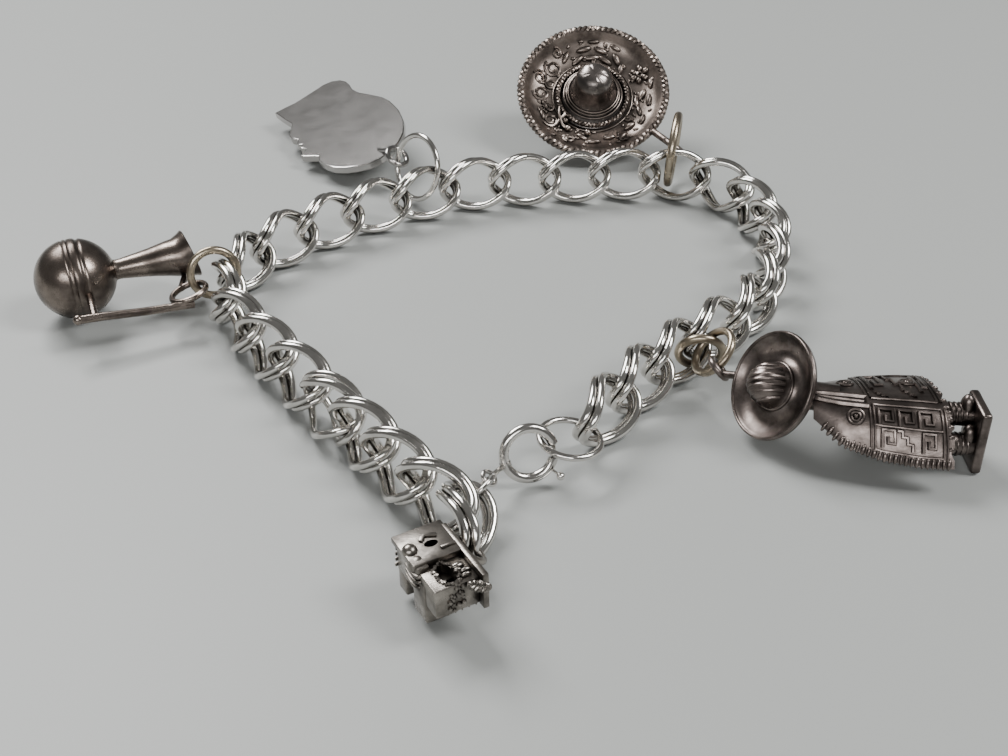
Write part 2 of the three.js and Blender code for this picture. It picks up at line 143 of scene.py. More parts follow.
def path(name, points, closed=False):
    bpy.ops.mesh.primitive_plane_add(size=0.001, location=(0, 0, 0))
    obj = bpy.context.object
    obj.name = name
    edit(obj)
    bpy.ops.mesh.select_all(action="SELECT")
    bpy.ops.mesh.merge(type="CENTER")
    bpy.ops.mesh.select_all(action="SELECT")
    bpy.ops.transform.translate(value=points[0])
    for a, b in zip(points, points[1:]):
        bpy.ops.mesh.extrude_vertices_move(TRANSFORM_OT_translate={"value": Vector(b) - Vector(a)})
    if closed:
        bpy.ops.mesh.select_all(action="DESELECT")
        pick(obj, lambda c: (c - Vector(points[0])).length < 1e-7 or (c - Vector(points[-1])).length < 1e-7)
        bpy.ops.mesh.edge_face_add()
    done()
    return obj


def smooth_line(points, per=6):
    """More points along the same soft curve."""
    p = [Vector(q) for q in points]
    p = [p[0] * 2 - p[1]] + p + [p[-1] * 2 - p[-2]]
    out = []
    for i in range(1, len(p) - 2):
        for k in range(per):
            t = k / per
            a, b, c, d = p[i - 1], p[i], p[i + 1], p[i + 2]
            bend = (2 * a - 5 * b + 4 * c - d) * t**2 + (3 * b - a - 3 * c + d) * t**3
            out.append(0.5 * (2 * b + (c - a) * t + bend))
    return out + [p[-2]]


def into_wire(obj, radius, sides=3):
    """Gives a drawn line a round thickness."""
    name = obj.name
    active(obj)
    bpy.ops.object.convert(target="CURVE")
    obj = bpy.context.object
    obj.data.bevel_depth = radius
    obj.data.bevel_resolution = sides
    obj.data.use_fill_caps = True
    active(obj)
    bpy.ops.object.convert(target="MESH")
    obj = bpy.context.object
    obj.name = name
    return outward(obj)


def wire(name, points, radius, sides=3, closed=False):
    return into_wire(path(name, points, closed), radius, sides)


def hoop(name, radius, thick, steps=48, sides=4):
    bpy.ops.mesh.primitive_circle_add(vertices=steps, radius=radius)
    obj = bpy.context.object
    obj.name = name
    return into_wire(obj, thick, sides)


def turned(name, profile, steps=64):
    """Spins a profile of (radius, height) about z."""
    obj = path(name, [Vector((r * MM, 0, h * MM)) for r, h in profile])
    edit(obj)
    bpy.ops.mesh.select_all(action="SELECT")
    bpy.ops.mesh.spin(steps=steps, angle=2 * math.pi, center=(0, 0, 0), axis=(0, 0, 1))
    bpy.ops.mesh.select_all(action="SELECT")
    bpy.ops.mesh.remove_doubles(threshold=2e-6)
    done()
    return outward(obj)


def ball(name, place, radius, squash=(1, 1, 1), fine=3):
    bpy.ops.mesh.primitive_ico_sphere_add(subdivisions=fine, radius=radius, location=place)
    obj = bpy.context.object
    obj.name = name
    obj.scale = squash
    seat(obj)
    active(obj)
    bpy.ops.object.shade_smooth()
    return obj


def box(name, low, high, bevel=0.12):
    low, high = Vector(low) * MM, Vector(high) * MM
    bpy.ops.mesh.primitive_cube_add(size=1, location=(low + high) / 2)
    obj = bpy.context.object
    obj.name = name
    obj.scale = high - low
    seat(obj)
    if bevel:
        edit(obj)
        bpy.ops.mesh.select_all(action="SELECT")
        bpy.ops.mesh.bevel(offset=bevel * MM, segments=2, affect="EDGES")
        done()
    return obj


def sheet(name, outline, low, high, bevel=0.1):
    """A flat piece of any outline between two heights."""
    obj = path(name, [Vector((x * MM, y * MM, low * MM)) for x, y in outline], closed=True)
    edit(obj)
    bpy.ops.mesh.select_all(action="SELECT")
    bpy.ops.mesh.edge_face_add()
    bpy.ops.mesh.select_all(action="SELECT")
    bpy.ops.mesh.extrude_region_move(TRANSFORM_OT_translate={"value": (0, 0, (high - low) * MM)})
    bpy.ops.mesh.select_all(action="SELECT")
    bpy.ops.mesh.normals_make_consistent(inside=False)
    bpy.ops.mesh.select_mode(type="FACE")
    pick(obj, lambda c, n: abs(n.z) > 0.9, faces=True)
    if bevel:
        bpy.ops.mesh.region_to_loop()
        bpy.ops.mesh.bevel(offset=bevel * MM, segments=2, affect="EDGES")
    done()
    return outward(obj)


# ------------------------------------------------------------ materials
def node_of(nodes, kind, **values):
    """Adds a shader node; each value is a setting of the node or of one of its sockets."""
    n = nodes.new(kind)
    for k, v in values.items():
        if hasattr(n, k):
            setattr(n, k, v)
        else:
            n.inputs[k.replace("_", " ")].default_value = v
    return n


def silver(name, bright, dark, roughness, wear=0.5, grain=0.12, crevice_shade=0.5, bump=0.03):
    """Worn silver: bright where it is rubbed, with painted shade darkening its colour in the hollows and
    between parts, and with fine scratches.
    """
    mat = bpy.data.materials.new(name)
    mat.use_nodes = True
    t = mat.node_tree
    N, L = t.nodes, t.links
    bsdf = N["Principled BSDF"]
    bsdf.inputs["Metallic"].default_value = 1.0
    place = node_of(N, "ShaderNodeTexCoord").outputs["Object"]
    cloud = node_of(N, "ShaderNodeTexNoise", Scale=420.0, Detail=5.0, Roughness=0.6)
    speck = node_of(N, "ShaderNodeTexNoise", Scale=2600.0, Detail=3.0, Roughness=0.55)
    scratch = node_of(N, "ShaderNodeTexNoise", Scale=1500.0, Detail=2.0)
    squeeze = node_of(N, "ShaderNodeMapping")
    squeeze.inputs["Scale"].default_value = (1, 9, 3)
    L.new(place, squeeze.inputs["Vector"])
    L.new(squeeze.outputs[0], scratch.inputs["Vector"])
    for n in (cloud, speck):
        L.new(place, n.inputs["Vector"])
    # Ambient occlusion paints shade into the colour: darker in hollows, between parts and near the floor.
    hollow = node_of(N, "ShaderNodeAmbientOcclusion", samples=6, only_local=False)
    hollow.inputs["Distance"].default_value = 0.0011
    shade = node_of(N, "ShaderNodeMapRange")
    shade.inputs["From Min"].default_value = 0.25
    shade.inputs["From Max"].default_value = 0.25 + crevice_shade
    L.new(hollow.outputs["AO"], shade.inputs["Value"])
    patch = node_of(N, "ShaderNodeMapRange")
    patch.inputs["From Min"].default_value = 0.38
    patch.inputs["From Max"].default_value = 0.66
    patch.inputs["To Min"].default_value = 1.0 - wear
    L.new(cloud.outputs["Fac"], patch.inputs["Value"])
    # Painted shade from the hollows times the random wear patches: it mixes in the dark colour and raises the
    # roughness.
    shade_and_wear = node_of(N, "ShaderNodeMath", operation="MULTIPLY")
    L.new(shade.outputs[0], shade_and_wear.inputs[0])
    L.new(patch.outputs[0], shade_and_wear.inputs[1])
    mix = node_of(N, "ShaderNodeMix", data_type="RGBA")
    mix.inputs["A"].default_value = (*dark, 1)
    mix.inputs["B"].default_value = (*bright, 1)
    L.new(shade_and_wear.outputs[0], mix.inputs["Factor"])
    L.new(mix.outputs["Result"], bsdf.inputs["Base Color"])
    rough = node_of(N, "ShaderNodeMapRange")
    rough.inputs["To Min"].default_value = roughness + grain
    rough.inputs["To Max"].default_value = roughness
    L.new(shade_and_wear.outputs[0], rough.inputs["Value"])
    L.new(rough.outputs[0], bsdf.inputs["Roughness"])
    height = node_of(N, "ShaderNodeMath", operation="ADD")
    L.new(speck.outputs["Fac"], height.inputs[0])
    L.new(scratch.outputs["Fac"], height.inputs[1])
    dent = node_of(N, "ShaderNodeBump")
    dent.inputs["Strength"].default_value = bump * 4
    dent.inputs["Distance"].default_value = 0.00006
    L.new(height.outputs[0], dent.inputs["Height"])
    L.new(dent.outputs["Normal"], bsdf.inputs["Normal"])
    return mat


# The crevice settings below set how strongly painted shade darkens each silver in its hollows.
BRIGHT = silver("bright chain silver", (0.80, 0.775, 0.735), (0.05, 0.043, 0.037), 0.13,
                wear=0.25, crevice_shade=0.55)
CLASP = silver("clasp silver", (0.74, 0.715, 0.68), (0.06, 0.052, 0.045), 0.15, wear=0.25, crevice_shade=0.55)
BRONZE = silver("warm ring silver", (0.50, 0.43, 0.33), (0.08, 0.06, 0.04), 0.25, wear=0.5)
PLATE = silver("grey plate silver", (0.46, 0.445, 0.43), (0.2, 0.19, 0.185), 0.16,
               wear=0.25, crevice_shade=0.2, bump=0.012)
HORN = silver("horn silver", (0.27, 0.225, 0.195), (0.04, 0.032, 0.028), 0.24, wear=0.75)
HAT = silver("hat silver", (0.40, 0.335, 0.295), (0.022, 0.018, 0.015), 0.30, wear=0.75, crevice_shade=0.7)
CROWN = silver("hat crown silver", (0.36, 0.32, 0.30), (0.03, 0.027, 0.025), 0.24, wear=0.8)
FIGURE = silver("figure silver", (0.28, 0.235, 0.215), (0.02, 0.016, 0.014), 0.27, wear=0.75, crevice_shade=0.7)
HOUSE = silver("house silver", (0.42, 0.385, 0.345), (0.018, 0.015, 0.013), 0.25, wear=0.7, crevice_shade=0.7)


def finish_piece(obj, material, *nodes, slot=None, body="bracelet", smooth=40):
    obj.data.materials.clear()
    obj.data.materials.append(material)
    if smooth:
        round_off(obj, smooth)
    seat(obj)
    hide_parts(*nodes)
    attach(obj, body)
    return obj


# ------------------------------------------------------------ chain
WIRE = 0.8
HALF_LENGTH, HALF_WIDTH = 3.88, 2.6
SIDE_STEP = 0.385
# The oval turns this many degrees from one end of its centre line to the other.
TWIST = -90


def ring_places(node):
    """The middle and the three main directions of a ring or link, longest first."""
    v = [p.co.copy() for p in node.data.vertices]
    middle = sum(v, Vector()) / len(v)
    best = [Vector((1, 0.2, 0.1)), Vector((0, 1, 0.3)), Vector((0.1, 0, 1))]
    spread = Matrix([[sum((p - middle)[i] * (p - middle)[j] for p in v) for j in range(3)] for i in range(3)])
    spread *= 1 / max(spread[i][i] for i in range(3))
    for _ in range(200):
        for k in range(3):
            d = spread @ best[k]
            for b in best[:k]:
                d -= b * d.dot(b)
            best[k] = d.normalized()
    if best[0].cross(best[1]).dot(best[2]) < 0:
        best[2] = -best[2]
    return middle, best


def oval(name, thickness_shift):
    bpy.ops.mesh.primitive_circle_add(vertices=44, radius=1)
    obj = bpy.context.object
    obj.name = name
    edit(obj)
    bpy.ops.mesh.select_all(action="SELECT")
    bpy.ops.transform.resize(value=(HALF_LENGTH * MM, HALF_WIDTH * MM, 1))
    bpy.ops.transform.translate(value=(0, 0, thickness_shift * MM))
    done()
    obj = into_wire(obj, WIRE / 2 * MM, 4)
    reach = HALF_LENGTH + WIRE / 2
    turn = math.radians(TWIST * reach / HALF_LENGTH)
    return apply(obj, "SIMPLE_DEFORM", deform_method="TWIST", deform_axis="X", angle=turn)


def make_chain():
    double_link = join("double_link", oval("wire_a", SIDE_STEP), oval("wire_b", -SIDE_STEP))
    single_link = oval("single_link", 0)
    for name in sorted(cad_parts):
        if name.startswith("link_"):
            model = single_link if name.endswith(("inner", "outer")) else double_link
            middle, (along, tall, across) = ring_places(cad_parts[name])
            link = copy_of(model, "silver_" + name)
            m = Matrix((along, tall, across)).transposed().to_4x4()
            m.translation = middle
            seat(link, m)
            finish_piece(link, BRIGHT, name)
    for model in (double_link, single_link):
        bpy.data.objects.remove(model)


# ------------------------------------------------------------ plain rings
def ring_from(node_name, material, slot):
    """A smooth round ring in the place and size of the plain one."""
    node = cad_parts[node_name]
    middle, (a, b, n) = ring_places(node)
    reach = [(v.co - middle - n * (v.co - middle).dot(n)).length for v in node.data.vertices]
    thick = (max(reach) - min(reach)) / 2
    radius = (max(reach) + min(reach)) / 2
    ring = hoop("round_" + node_name, radius, thick * 0.985, 56, 4)
    m = Matrix((a, b, a.cross(b))).transposed().to_4x4()
    m.translation = middle
    seat(ring, m)
    finish_piece(ring, material, node_name, slot=slot)


def make_rings():
    ring_from("end_ring", CLASP, "bright_silver")
    ring_from("clasp_jump_ring", CLASP, "bright_silver")
    ring_from("silhouette_jump_ring", BRIGHT, "bright_silver")
    for name in ("horn_jump_ring", "sombrero_jump_ring", "figure_jump_ring_a", "figure_jump_ring_b"):
        ring_from(name, BRONZE, "warm_silver")


# ------------------------------------------------------------ clasp
# The ring stands nearly upright: it leans back by LEAN and is turned by YAW.
LEAN, YAW = math.radians(72), math.radians(-15)
CLASP_AT = at(2.06, -29.25, 2.78)
CLASP_RADIUS, TUBE, BOLT = 2.15, 0.43, 0.19
STEM_AT = -42
OVER = Vector((math.cos(YAW), -math.sin(YAW), 0))
BACK = Vector((math.sin(YAW), math.cos(YAW), 0))
RISE = BACK * math.cos(LEAN) + Vector((0, 0, math.sin(LEAN)))
FACING = OVER.cross(RISE)


def on_clasp(deg):
    a = math.radians(deg)
    return CLASP_AT + (OVER * math.cos(a) + RISE * math.sin(a)) * CLASP_RADIUS * MM


def stem_way(deg):
    """Outward and toward the wearer, the way the thumb knob's stem points."""
    a = math.radians(deg)
    return (OVER * 0.62 * math.cos(a) + RISE * 0.62 * math.sin(a) + FACING * 0.78).normalized()


def clasp_arc(name, a0, a1, thick, steps, aside=0):
    """A bent rod along the clasp's circle, or beside it toward the stem."""
    pts = []
    for i in range(steps + 1):
        deg = a0 + (a1 - a0) * i / steps
        pts.append(on_clasp(deg) + stem_way(deg) * aside * MM)
    return into_wire(path(name, pts), thick * MM, 4)


def make_clasp():
    tube = clasp_arc("clasp_tube", 14, 340, TUBE, 64)
    hollow = clasp_arc("hollow", 3, -112, 0.28, 24)
    gap = clasp_arc("gap", -36, -88, 0.2, 16, aside=0.4)
    for tool in (hollow, gap):
        apply(tube, "BOOLEAN", object=tool, operation="DIFFERENCE", solver="EXACT")
        bpy.data.objects.remove(tool)
    tail_at = at(-1.2, -32.4, 2.6)
    tail_root = on_clasp(197)
    way = (tail_at - tail_root).normalized()
    tail_line = [tail_root + way * 0.1 * MM, tail_root + way * 1.2 * MM, tail_at - way * 0.62 * MM]
    tail = wire("tail", tail_line, 0.24 * MM, 3)
    loop = hoop("tail_loop", 0.62 * MM, 0.2 * MM, 32, 4)
    seat(loop, frame_of(tail_at, way, Vector((0.55, -0.31, 0.775))))
    collar = clasp_arc("collar", 192, 202, 0.5, 4)
    spring_ring = join("spring_ring", tube, tail, loop, collar)
    finish_piece(spring_ring, CLASP, "clasp_ring", smooth=35)
    bolt = clasp_arc("bolt", 12, -62, BOLT, 20)
    knob_at = on_clasp(STEM_AT) + stem_way(STEM_AT) * 1.42 * MM
    stem = wire("stem", [on_clasp(STEM_AT), knob_at], 0.12 * MM, 3)
    knob = ball("knob", knob_at, 0.36 * MM)
    lever = join("lever_knob", bolt, stem, knob)
    finish_piece(lever, CLASP, "clasp_lever", body="lever")


# ------------------------------------------------------------ horn
BULB_RADIUS = 3.95
# Grooves round the bulb: place along its axis, width, depth.
GROOVES = ((-0.55, 0.09, 0.07), (-0.1, 0.09, 0.1), (0.85, 0.16, 0.17))
# The bell and its inside, from the bulb's top: radius, height.
BELL = [
    (1.05, 3.85), (1, 4.1), (1.02, 4.5), (1.12, 5.2), (1.25, 6.2), (1.45, 7.5), (1.75, 9), (2.1, 10.3),
    (2.3, 11), (2.45, 11.3), (2.5, 11.45), (2.42, 11.55), (2.2, 11.4), (1.9, 10.4), (1.5, 9), (1.1, 7.2),
    (0.6, 6.2), (0, 6),
]


def bulb_profile(steps=110):
    """A ball's outline from its bottom up to the bell, with the grooves sunk into it."""
    profile = [(0, -BULB_RADIUS)]
    for i in range(1, steps):
        a = -math.pi / 2 + math.pi * i / steps
        r, h = BULB_RADIUS * math.cos(a), BULB_RADIUS * math.sin(a)
        sunk = sum(deep * math.exp(-(((h - place) / wide) ** 2)) for place, wide, deep in GROOVES)
        if h < 3.75:
            profile.append((r - sunk, h))
    return profile


def make_horn():
    horn_at = at(-42.35, -1.73, 4.05)
    horn_way = Vector((0.926, 0.375, 0.04)).normalized()
    horn = turned("horn", bulb_profile() + BELL, 72)
    edit(horn)
    pick(horn, lambda c: c.z > 10.2 * MM)
    bpy.ops.transform.rotate(value=math.radians(-13), orient_axis="Y", center_override=(0, 0, 11 * MM))
    done()
    up = Vector((0, 0.39, 0.92))
    side = (up - horn_way * up.dot(horn_way)).normalized()
    m = Matrix((side, horn_way.cross(side), horn_way)).transposed().to_4x4()
    m.translation = horn_at
    seat(horn, m)
    bar_line = [at(-40.2, -9.2, 3.66), at(-37.5, -8, 3.45), at(-34.5, -6.6, 3.1), at(-32, -5.5, 2.95),
                at(-30.2, -4.7, 2.85)]
    bar = wire("horn_bar", smooth_line(bar_line), 0.41 * MM, 4)
    bar_end = ball("bar_end", bar_line[0], 0.5 * MM)
    post_line = [at(-38.8, -8.5, 3.5), at(-39.6, -6.4, 3.7), at(-40.4, -4.4, 3.85)]
    post = wire("horn_post", post_line, 0.38 * MM, 4)
    neck = wire("horn_neck", [at(-32, -1.9, 3), at(-32.2, 1.2, 2.9)], 0.35 * MM, 3)
    bail = hoop("horn_bail", 1.75 * MM, 0.3 * MM, 48, 4)
    seat(bail, frame_of(at(-30.95, -3.2, 3.3), Vector((1, 0, 0.29)), Vector((-0.28, 0, 0.96))))
    horn = join("bulb_horn", horn, bar, bar_end, post, neck, bail)
    finish_piece(horn, HORN, "horn_charm", slot="dark_silver", smooth=30)


# ------------------------------------------------------------ silhouette
# Up the head from the chin, and toward the back of the head; the face is a plain one.
HEAD = [
    (-1.2, 1.4), (-3.6, 1.3), (-6.1, 1.3), (-6.1, 2.8), (-6, 4.3), (-6.3, 6), (-6.6, 7.6), (-6.9, 9),
    (-6.7, 10.2), (-5.9, 11.1), (-4.8, 11.4), (-3.6, 11.3), (-2, 10.9), (-0.4, 11), (1.6, 11.7),
    (3.6, 12.3), (5.4, 12.4), (7, 12.2), (8.7, 11.9), (10.2, 11.4), (11.6, 10.9), (12.8, 10.2),
    (13.9, 9.5), (14.8, 8.6), (15.8, 7.4), (16.4, 6), (16.7, 4.6), (16.5, 3.2), (15.7, 1.8), (14.7, 0.7),
    (13.4, -0.15), (12, -0.5), (10.9, -0.6), (10.2, -0.55), (9.7, -0.3), (9.3, -0.15), (8.6, -0.6),
    (7.6, -1.35), (7.1, -1.5), (6.75, -1.25), (6.55, -0.7), (6.3, -0.35), (5.8, -0.5), (5.4, -0.7),
    (5.05, -0.5), (4.8, -0.2), (4.5, -0.45), (4, -0.5), (3.6, -0.2), (3.2, 0.05), (2.6, -0.2),
    (2.1, -0.35), (1.3, -0.25), (0.6, 0.1), (0.1, 0.5), (-0.5, 0.95),
]


def make_silhouette():
    plate = sheet("head_plate", HEAD, -0.97, -0.03, bevel=0.13)
    seat(plate, frame_of(at(-27.3, 40.1, 2), Vector((0.54, -0.84, 0.024)), Vector((-0.23, -0.12, 0.966))))
    neck_line = smooth_line([at(-15.2, 31.2, 3.25), at(-13.6, 28.9, 4.2), at(-12.66, 27.6, 5.1)], 4)
    neck = wire("plate_neck", neck_line, 0.38 * MM, 4)
    bail = hoop("plate_bail", 1.25 * MM, 0.33 * MM, 40, 4)
    seat(bail, frame_of(at(-12.4, 26.5, 4.6), Vector((0.2, -0.85, -0.44)), Vector((0.5, -0.3, 0.8))))
    for part, angle in ((plate, 12), (neck, 60), (bail, 60)):
        round_off(part, angle)
    plate = join("head_silhouette", plate, neck, bail)
    finish_piece(plate, PLATE, "silhouette_charm", smooth=None)


# ------------------------------------------------------------ sombrero
HAT_LEAN = math.radians(36)


def rope(name, radius, height, strand, twists):
    """A ring of two strands wound round each other."""
    strands = []
    for k in (0, 1):
        pts = []
        n = twists * 8
        for i in range(n):
            a = 2 * math.pi * i / n
            b = twists * a + k * math.pi
            r, h = radius + strand * 0.8 * math.cos(b), height + strand * 0.8 * math.sin(b)
            pts.append(Vector((r * math.cos(a), r * math.sin(a), h)) * MM)
        strands.append(wire(name + str(k), pts, strand * MM, 1, closed=True))
    return strands


# The brim's upper side, then its rim and underside: radius, height.
BRIM = [
    (4.4, -1.3), (5.2, -1.28), (6, -1.15), (6.8, -0.9), (7.5, -0.55), (8, -0.15), (8.3, 0.25), (8.55, 0.5),
]
BRIM_BELOW = [
    (8.85, 0.55), (8.95, 0.2), (8.8, -0.3), (8.3, -0.75), (7.5, -1.2), (6, -1.85), (4.8, -2.05),
    (4.2, -1.9), (4.4, -1.3),
]
CROWN_OUTLINE = [
    (0, 4.15), (0.6, 4.12), (1.2, 3.98), (1.7, 3.7), (2.1, 3.25), (2.3, 2.7), (2.36, 2.1), (2.42, 1.4),
    (2.6, 0.8), (2.95, 0.1), (3.4, -0.55), (4, -1.05), (4.6, -1.35), (4.6, -1.85), (3.9, -1.8),
    (3.1, -1.2), (2.3, 0.4), (1.9, 2.2), (1.2, 3.2), (0, 3.5),
]
# Leaves on the brim: angle, distance out, length, width, turn. The far side has the long ones.
LEAVES = (
    (72, 5.6, 1.05, 0.42, 70), (90, 5.7, 1.1, 0.42, 95), (108, 5.6, 1.0, 0.4, 118),
    (80, 6.7, 1.0, 0.4, 75), (98, 6.8, 1.05, 0.4, 98), (60, 6.2, 0.95, 0.4, 50),
    (120, 6.5, 0.9, 0.36, 130), (66, 7.4, 0.8, 0.34, 80), (88, 7.6, 0.8, 0.3, 92),
    (48, 5.4, 0.8, 0.36, 30), (2, 6.2, 0.9, 0.36, 60), (-8, 5.5, 0.85, 0.34, 100),
    (-6, 7.0, 0.9, 0.36, 85), (-20, 6.1, 0.8, 0.34, 120), (12, 7.4, 0.7, 0.3, 70),
    (-30, 7.0, 0.85, 0.34, 100), (-44, 6.2, 0.9, 0.36, 80), (-58, 6.8, 0.85, 0.34, 110),
    (-72, 6.2, 0.8, 0.34, 80), (-90, 6.6, 0.9, 0.32, 95), (-104, 6.0, 0.8, 0.32, 70),
    (-118, 6.8, 0.85, 0.32, 110), (204, 6.9, 0.8, 0.3, 80), (192, 6.1, 0.75, 0.3, 110),
)
# Curls on the brim, most of them on its left: angle, distance out, size, hand.
CURLS = (
    (140, 6.3, 1.15, 1), (158, 7.0, 0.9, -1), (160, 5.5, 0.7, 1), (176, 6.4, 1.1, 1),
    (196, 5.6, 0.7, -1), (213, 6.3, 1.0, 1), (126, 7.4, 0.6, -1), (244, 6.9, 0.75, -1),
    (-36, 5.4, 0.5, 1), (300, 7.3, 0.5, 1),
)
FLOWER_AT, FLOWER_OUT, FLOWER_SIZE = 27, 6.7, 0.78


def brim_height(r):
    for (r0, h0), (r1, h1) in zip(BRIM, BRIM[1:]):
        if r < r1:
            return h0 + (h1 - h0) * (r - r0) / (r1 - r0)
    return 0.5


def on_brim(deg, out, lift):
    a = math.radians(deg)
    return Vector((out * math.cos(a), out * math.sin(a), brim_height(out) + lift)) * MM


def petal(r, deg, length, width, turn, high):
    """A small raised leaf lying on the brim."""
    o = ball("petal", (0, 0, 0), 1, (length * MM, width * MM, high * MM), 2)
    slope = math.atan2(brim_height(r + 0.3) - brim_height(r - 0.3), 0.6)
    round_brim = Matrix.Rotation(math.radians(deg), 4, "Z") @ Matrix.Rotation(-slope, 4, "Y")
    on_itself = Matrix.Rotation(math.radians(turn), 4, "Z")
    return seat(o, Matrix.Translation(on_brim(deg, r, 0.05)) @ round_brim @ on_itself)


def scroll(deg, out, size, hand, turns=1.6):
    """A raised curl that winds in on itself on the brim."""
    pts = []
    for i in range(int(14 * turns) + 1):
        b = 2 * math.pi * i / 14
        r = size * (1 - 0.72 * i / (14 * turns))
        around = math.degrees(hand * r * math.sin(b) / out)
        pts.append(on_brim(deg + around, out + r * math.cos(b), 0.06))
    return wire("scroll", pts, 0.17 * MM, 1)


def cord_end(points):
    line = smooth_line([Vector(p) * MM for p in points], 5)
    return wire("cord_end", line, 0.2 * MM, 2)


def make_sombrero():
    hat_up = Vector((0, -math.sin(HAT_LEAN), math.cos(HAT_LEAN)))
    hat_frame = frame_of(at(11.05, 41.2, 6.8), Vector((1, 0, 0)), hat_up)
    brim = turned("brim", BRIM + BRIM_BELOW, 96)
    crown = turned("crown", CROWN_OUTLINE, 64)
    edit(crown)
    pick(crown, lambda c: c.z > 2.9 * MM and abs(c.y + c.x * 0.5) < 0.45 * MM)
    bpy.ops.transform.translate(value=(0, 0, -0.14 * MM))
    done()
    pieces = [brim] + rope("rim_rope", 8.98, 0.3, 0.29, 44) + rope("band_rope", 4.3, -0.8, 0.19, 30)
    for k, (r, h) in enumerate(((4.95, -1.18), (3.6, -0.45), (3.1, 0.1), (3.3, -0.2))):
        ring = hoop("line%d" % k, r * MM, 0.09 * MM, 72, 2)
        seat(ring, Matrix.Translation((0, 0, h * MM)))
        pieces.append(ring)
    for deg, out, length, width, turn in LEAVES:
        pieces.append(petal(out, deg, length, width, turn, 0.34))
    for k in range(6):
        b = 2 * math.pi * k / 6
        out = FLOWER_OUT + FLOWER_SIZE * math.cos(b)
        deg = FLOWER_AT + math.degrees(FLOWER_SIZE * math.sin(b) / FLOWER_OUT)
        pieces.append(petal(out, deg, 0.5, 0.4, math.degrees(b), 0.38))
    eye = hoop("flower_eye", 0.34 * MM, 0.13 * MM, 20, 2)
    pieces.append(seat(eye, Matrix.Translation(on_brim(FLOWER_AT, FLOWER_OUT, 0.2))))
    for deg, out, size, hand in CURLS:
        pieces.append(scroll(deg, out, size, hand))
    for k in range(90):
        deg, out = 360 * random.random(), 5 + 2.7 * random.random()
        length, width = 0.2 + 0.2 * random.random(), 0.12 + 0.1 * random.random()
        pieces.append(petal(out, deg, length, width, 360 * random.random(), 0.17))
    for deg, r, size in ((226, 4.95, 0.42), (236, 5.6, 0.4), (262, 5.3, 0.42)):
        a = math.radians(deg)
        place = Vector((r * math.cos(a), r * math.sin(a), -0.95)) * MM
        pieces.append(ball("bead", place, size * MM, fine=2))
    pieces += [cord_end([(-3.4, -2.9, -0.5), (-4.1, -3.5, -0.75), (-4.6, -4.1, -0.95), (-5.2, -4.4, -1)]),
               cord_end([(-4.1, -1.8, -0.6), (-4.2, -3.0, -0.6), (-3.8, -4.2, -0.85), (-3.2, -4.6, -0.95)])]
    for p in pieces:
        seat(p, hat_frame)
    hat_bail = at(20.4, 31.6, 3.6)
    neck_at = math.radians(-38)
    rim_point = hat_frame @ (Vector((8.85 * math.cos(neck_at), 8.85 * math.sin(neck_at), 0)) * MM)
    bail = hoop("hat_bail", 1.3 * MM, 0.37 * MM, 40, 4)
    seat(bail, frame_of(hat_bail, Vector((0.8, 0, -0.6)), Vector((0.6, 0.2, 0.75))))
    neck = wire("hat_neck", [rim_point, rim_point.lerp(hat_bail, 0.74)], 0.42 * MM, 4)
    brim = join("sombrero_brim", *pieces, bail, neck)
    finish_piece(brim, HAT, "sombrero_charm", slot="dark_silver", smooth=35)
    seat(crown, hat_frame)
    finish_piece(crown, CROWN, "sombrero_charm", slot="dark_silver", smooth=50)


# ------------------------------------------------------------ lying figure
# Sections of the blanket from the neck to the hem, each with its far edge, ridge and near edge.
STATIONS = [
    {"x": 25.8, "far": -22.2, "far_z": 4.4, "ridge": -25, "top": 5.8, "near": -26.6, "near_z": 4.4},
    {"x": 28, "far": -20.4, "far_z": 4, "ridge": -25.8, "top": 6, "near": -28.8, "near_z": 3.2},
    {"x": 31, "far": -19.4, "far_z": 3.8, "ridge": -26.5, "top": 6.1, "near": -30, "near_z": 2.6},
    {"x": 34, "far": -19.1, "far_z": 3.8, "ridge": -26.9, "top": 6.1, "near": -30.7, "near_z": 2.4},
    {"x": 36.7, "far": -19.2, "far_z": 3.8, "ridge": -27.2, "top": 6, "near": -31, "near_z": 2.4},
]


def blanket_point(x, u):
    """A place on the blanket: u runs from the far edge at 0 over the ridge at 1 to the near edge at 2."""
    x = min(36.7, max(25.8, x))
    k = max(i for i, s in enumerate(STATIONS[:-1]) if s["x"] <= x)
    a, b = STATIONS[k], STATIONS[k + 1]
    t = (x - a["x"]) / (b["x"] - a["x"])
    s = {n: a[n] + (b[n] - a[n]) * t for n in a}
    edge, ez = (s["far"], s["far_z"]) if u < 1 else (s["near"], s["near_z"])
    w = abs(u - 1)
    return Vector((x, s["ridge"] + (edge - s["ridge"]) * w, ez + (s["top"] - ez) * (1 - w**2.1)))


def on_cloth(x, u, lift=0.0):
    """A place on the blanket with the ways out of it and along it."""
    p, q, r = blanket_point(x, u), blanket_point(x, min(2, u + 0.04)), blanket_point(x + 0.2, u)
    n = (q - p).cross(r - p).normalized()
    if n.z < 0:
        n = -n
    return (p + n * lift + SHIFT) * MM, n, (r - p).normalized()


def raised_line(places, thick=0.17, lift=0.05):
    pts = []
    for (x0, u0), (x1, u1) in zip(places, places[1:]):
        n = max(1, int(math.hypot(x1 - x0, (u1 - u0) * 5) / 0.5))
        pts += [on_cloth(x0 + (x1 - x0) * i / n, u0 + (u1 - u0) * i / n, lift)[0] for i in range(n)]
    pts.append(on_cloth(*places[-1], lift)[0])
    return wire("raised", pts, thick * MM, 1)


def greek_key(x, u, w, h):
    corners = ((0, 1), (0, 0), (1, 0), (1, 0.75), (0.45, 0.75), (0.45, 0.4))
    return raised_line([(x + w * a, u + h * b) for a, b in corners], 0.17)


def steps(x, u, w, h):
    corners = ((0, 0), (0.33, 0), (0.33, 0.33), (0.66, 0.33), (0.66, 0.66), (1, 0.66), (1, 1))
    return raised_line([(x + w * a, u + h * b) for a, b in corners], 0.17)


